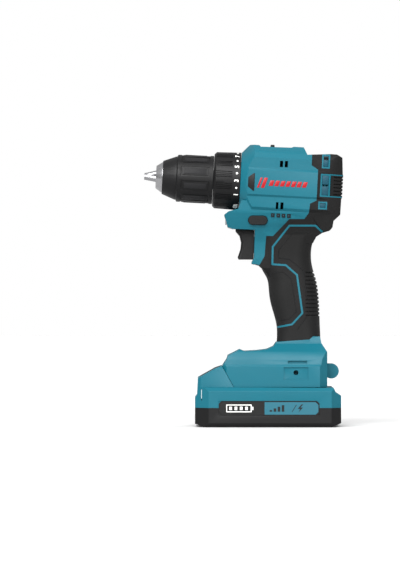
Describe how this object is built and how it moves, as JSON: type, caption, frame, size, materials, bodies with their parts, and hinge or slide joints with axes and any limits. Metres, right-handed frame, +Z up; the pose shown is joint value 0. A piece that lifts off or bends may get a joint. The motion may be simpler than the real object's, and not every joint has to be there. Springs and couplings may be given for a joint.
{
  "type": "cordless drill",
  "caption": "Teal and black cordless drill driver with a black keyless chuck, numbered torque ring, trigger, soft ribbed grip and slide-on battery pack.",
  "frame": {"origin": "centre of the bottom face of the battery, where the drill stands", "axes": "+Z up, -X towards the chuck, +Y to the tool's right side seen from behind the chuck"},
  "size_m": [0.1586, 0.0742, 0.2247],
  "materials": {
    "teal_plastic": "fine moulded grain",
    "soft_grip": "matte",
    "black_plastic": "satin",
    "chuck_plastic": "satin",
    "bright_steel": "ground",
    "gear_steel": "oiled",
    "copper": "enamelled wire",
    "board": "solder mask",
    "lens": "clear",
    "nickel": "nickel plate",
    "cell_wrap": "shrink sleeve",
    "label": "printed film"
  },
  "bodies": {
    "drill_body": {"housing_left": "teal_plastic", "housing_right": "teal_plastic", "grip_cover_left": "soft_grip", "grip_cover_right": "soft_grip", "rear_pad": "soft_grip", "housing_screws": "bright_steel", "gear_case": "black_plastic", "gearbox_plate": "black_plastic", "ring_gear_1": "gear_steel", "ring_gear_3": "gear_steel", "clutch_pins": "bright_steel", "clutch_spring": "bright_steel", "ball_bearings": "gear_steel", "motor_stator": "gear_steel", "motor_windings": "copper", "switch_body": "black_plastic", "trigger_spring": "bright_steel", "motor_board": "board", "lamp_lens": "lens", "lamp_board": "board", "terminal_block": "black_plastic"},
    "spindle_body": {"spindle": "bright_steel", "chuck_body": "bright_steel", "chuck_screw": "bright_steel"},
    "sleeve_body": {"chuck_sleeve": "chuck_plastic", "chuck_nut": "bright_steel"},
    "rotor_body": {"motor_shaft": "bright_steel", "motor_rotor": "gear_steel", "fan": "black_plastic"},
    "carrier_1_body": {"carrier_1": "gear_steel"},
    "carrier_2_body": {"carrier_2": "gear_steel"},
    "shift_ring_body": {"ring_gear_2": "gear_steel", "shift_fork": "gear_steel"},
    "selector_body": {"gear_selector": "black_plastic"},
    "torque_ring_body": {"torque_ring": "chuck_plastic"},
    "spring_seat_body": {"spring_seat": "gear_steel"},
    "trigger_body": {"trigger": "black_plastic"},
    "lever_body": {"direction_lever": "black_plastic"},
    "battery_body": {"battery_tray": "black_plastic", "battery_cover": "teal_plastic", "battery_cells": "cell_wrap", "cell_frames": "black_plastic", "cell_straps": "nickel", "battery_board": "board", "battery_labels": "label", "charge_lights": "lens", "latch_spring": "bright_steel"},
    "button_body": {"release_button": "black_plastic"},
    "jaw_1_body": {"chuck_jaw_1": "bright_steel"},
    "jaw_2_body": {"chuck_jaw_2": "bright_steel"},
    "jaw_3_body": {"chuck_jaw_3": "bright_steel"},
    "planet_1a_body": {"planet_gear_1a": "gear_steel"},
    "planet_1b_body": {"planet_gear_1b": "gear_steel"},
    "planet_1c_body": {"planet_gear_1c": "gear_steel"},
    "planet_2a_body": {"planet_gear_2a": "gear_steel"},
    "planet_2b_body": {"planet_gear_2b": "gear_steel"},
    "planet_2c_body": {"planet_gear_2c": "gear_steel"},
    "planet_3a_body": {"planet_gear_3a": "gear_steel"},
    "planet_3b_body": {"planet_gear_3b": "gear_steel"},
    "planet_3c_body": {"planet_gear_3c": "gear_steel"}
  },
  "joints": [
    {"name": "spindle_spin", "type": "hinge", "parent": "drill_body", "child": "spindle_body", "pos_m": [-0.0218, 0, 0.1954], "axis": [0.9986, 0, -0.0523], "continuous": true},
    {"name": "motor_spin", "type": "hinge", "parent": "drill_body", "child": "rotor_body", "pos_m": [-0.0218, 0, 0.1954], "axis": [0.9986, 0, -0.0523], "continuous": true},
    {"name": "carrier_1_spin", "type": "hinge", "parent": "drill_body", "child": "carrier_1_body", "pos_m": [-0.0218, 0, 0.1954], "axis": [0.9986, 0, -0.0523], "continuous": true},
    {"name": "carrier_2_spin", "type": "hinge", "parent": "drill_body", "child": "carrier_2_body", "pos_m": [-0.0218, 0, 0.1954], "axis": [0.9986, 0, -0.0523], "continuous": true},
    {"name": "planet_1a_spin", "type": "hinge", "parent": "carrier_1_body", "child": "planet_1a_body", "pos_m": [0.00972, 0, 0.20456], "axis": [0.9986, 0, -0.0523], "continuous": true},
    {"name": "planet_1b_spin", "type": "hinge", "parent": "carrier_1_body", "child": "planet_1b_body", "pos_m": [0.00887, -0.00935, 0.18838], "axis": [0.9986, 0, -0.0523], "continuous": true},
    {"name": "planet_1c_spin", "type": "hinge", "parent": "carrier_1_body", "child": "planet_1c_body", "pos_m": [0.00887, 0.00935, 0.18838], "axis": [0.9986, 0, -0.0523], "continuous": true},
    {"name": "planet_2a_spin", "type": "hinge", "parent": "carrier_2_body", "child": "planet_2a_body", "pos_m": [0.0001, 0, 0.20627], "axis": [0.9986, 0, -0.0523], "continuous": true},
    {"name": "planet_2b_spin", "type": "hinge", "parent": "carrier_2_body", "child": "planet_2b_body", "pos_m": [-0.00084, -0.01039, 0.18829], "axis": [0.9986, 0, -0.0523], "continuous": true},
    {"name": "planet_2c_spin", "type": "hinge", "parent": "carrier_2_body", "child": "planet_2c_body", "pos_m": [-0.00084, 0.01039, 0.18829], "axis": [0.9986, 0, -0.0523], "continuous": true},
    {"name": "planet_3a_spin", "type": "hinge", "parent": "spindle_body", "child": "planet_3a_body", "pos_m": [-0.00959, 0, 0.20678], "axis": [0.9986, 0, -0.0523], "continuous": true},
    {"name": "planet_3b_spin", "type": "hinge", "parent": "spindle_body", "child": "planet_3b_body", "pos_m": [-0.01053, -0.01039, 0.1888], "axis": [0.9986, 0, -0.0523], "continuous": true},
    {"name": "planet_3c_spin", "type": "hinge", "parent": "spindle_body", "child": "planet_3c_body", "pos_m": [-0.01053, 0.01039, 0.1888], "axis": [0.9986, 0, -0.0523], "continuous": true},
    {"name": "chuck_sleeve_turn", "type": "hinge", "parent": "spindle_body", "child": "sleeve_body", "pos_m": [-0.0218, 0, 0.1954], "axis": [0.9986, 0, -0.0523], "range_deg": [0, 3965.1]},
    {"name": "jaw_1_slide", "type": "slide", "parent": "spindle_body", "child": "jaw_1_body", "axis": [0.9744, 0, 0.225], "range_m": [0, 0.01544]},
    {"name": "jaw_2_slide", "type": "slide", "parent": "spindle_body", "child": "jaw_2_body", "axis": [0.9527, -0.2387, -0.1879], "range_m": [0, 0.01544]},
    {"name": "jaw_3_slide", "type": "slide", "parent": "spindle_body", "child": "jaw_3_body", "axis": [0.9527, 0.2387, -0.1879], "range_m": [0, 0.01544]},
    {"name": "torque_ring_turn", "type": "hinge", "parent": "drill_body", "child": "torque_ring_body", "pos_m": [-0.0218, 0, 0.1954], "axis": [0.9986, 0, -0.0523], "range_deg": [-130, 152]},
    {"name": "spring_seat_slide", "type": "slide", "parent": "drill_body", "child": "spring_seat_body", "axis": [0.9986, 0, -0.0523], "range_m": [-0.00186, 0.00217], "deforming": ["clutch_spring"]},
    {"name": "gear_selector_slide", "type": "slide", "parent": "drill_body", "child": "selector_body", "axis": [0.9986, 0, -0.0523], "range_m": [0, 0.008]},
    {"name": "shift_ring_slide", "type": "slide", "parent": "drill_body", "child": "shift_ring_body", "axis": [0.9986, 0, -0.0523], "range_m": [0, 0.00302]},
    {"name": "trigger_pull", "type": "slide", "parent": "drill_body", "child": "trigger_body", "axis": [1, 0, 0], "range_m": [0, 0.006], "stiffness_N_per_m": 1200, "springref_m": -0.002, "deforming": ["trigger_spring"]},
    {"name": "direction_lever_slide", "type": "slide", "parent": "drill_body", "child": "lever_body", "axis": [0, 1, 0], "range_m": [-0.0025, 0.0025]},
    {"name": "battery_slide", "type": "slide", "parent": "drill_body", "child": "battery_body", "axis": [-1, 0, 0], "range_m": [0, 0.072]},
    {"name": "release_button_press", "type": "slide", "parent": "battery_body", "child": "button_body", "axis": [0, 0, -1], "range_m": [0, 0.003], "stiffness_N_per_m": 1200, "springref_m": -0.0015, "deforming": ["latch_spring"]}
  ],
  "couplings": [
    {"joint": "motor_spin", "follows": "spindle_spin", "ratio": 50},
    {"joint": "carrier_1_spin", "follows": "spindle_spin", "ratio": 11.111},
    {"joint": "carrier_2_spin", "follows": "spindle_spin", "ratio": 3.3333},
    {"joint": "planet_1a_spin", "follows": "spindle_spin", "ratio": -31.111},
    {"joint": "planet_1b_spin", "follows": "spindle_spin", "ratio": -31.111},
    {"joint": "planet_1c_spin", "follows": "spindle_spin", "ratio": -31.111},
    {"joint": "planet_2a_spin", "follows": "spindle_spin", "ratio": -11.667},
    {"joint": "planet_2b_spin", "follows": "spindle_spin", "ratio": -11.667},
    {"joint": "planet_2c_spin", "follows": "spindle_spin", "ratio": -11.667},
    {"joint": "planet_3a_spin", "follows": "spindle_spin", "ratio": -3.5},
    {"joint": "planet_3b_spin", "follows": "spindle_spin", "ratio": -3.5},
    {"joint": "planet_3c_spin", "follows": "spindle_spin", "ratio": -3.5},
    {"joint": "jaw_1_slide", "follows": "chuck_sleeve_turn", "m_per_rad": 0.00022282},
    {"joint": "jaw_2_slide", "follows": "chuck_sleeve_turn", "m_per_rad": 0.00022282},
    {"joint": "jaw_3_slide", "follows": "chuck_sleeve_turn", "m_per_rad": 0.00022282},
    {"joint": "spring_seat_slide", "follows": "torque_ring_turn", "m_per_rad": 0.00081},
    {"joint": "shift_ring_slide", "follows": "gear_selector_slide", "ratio": 0.375}
  ]
}
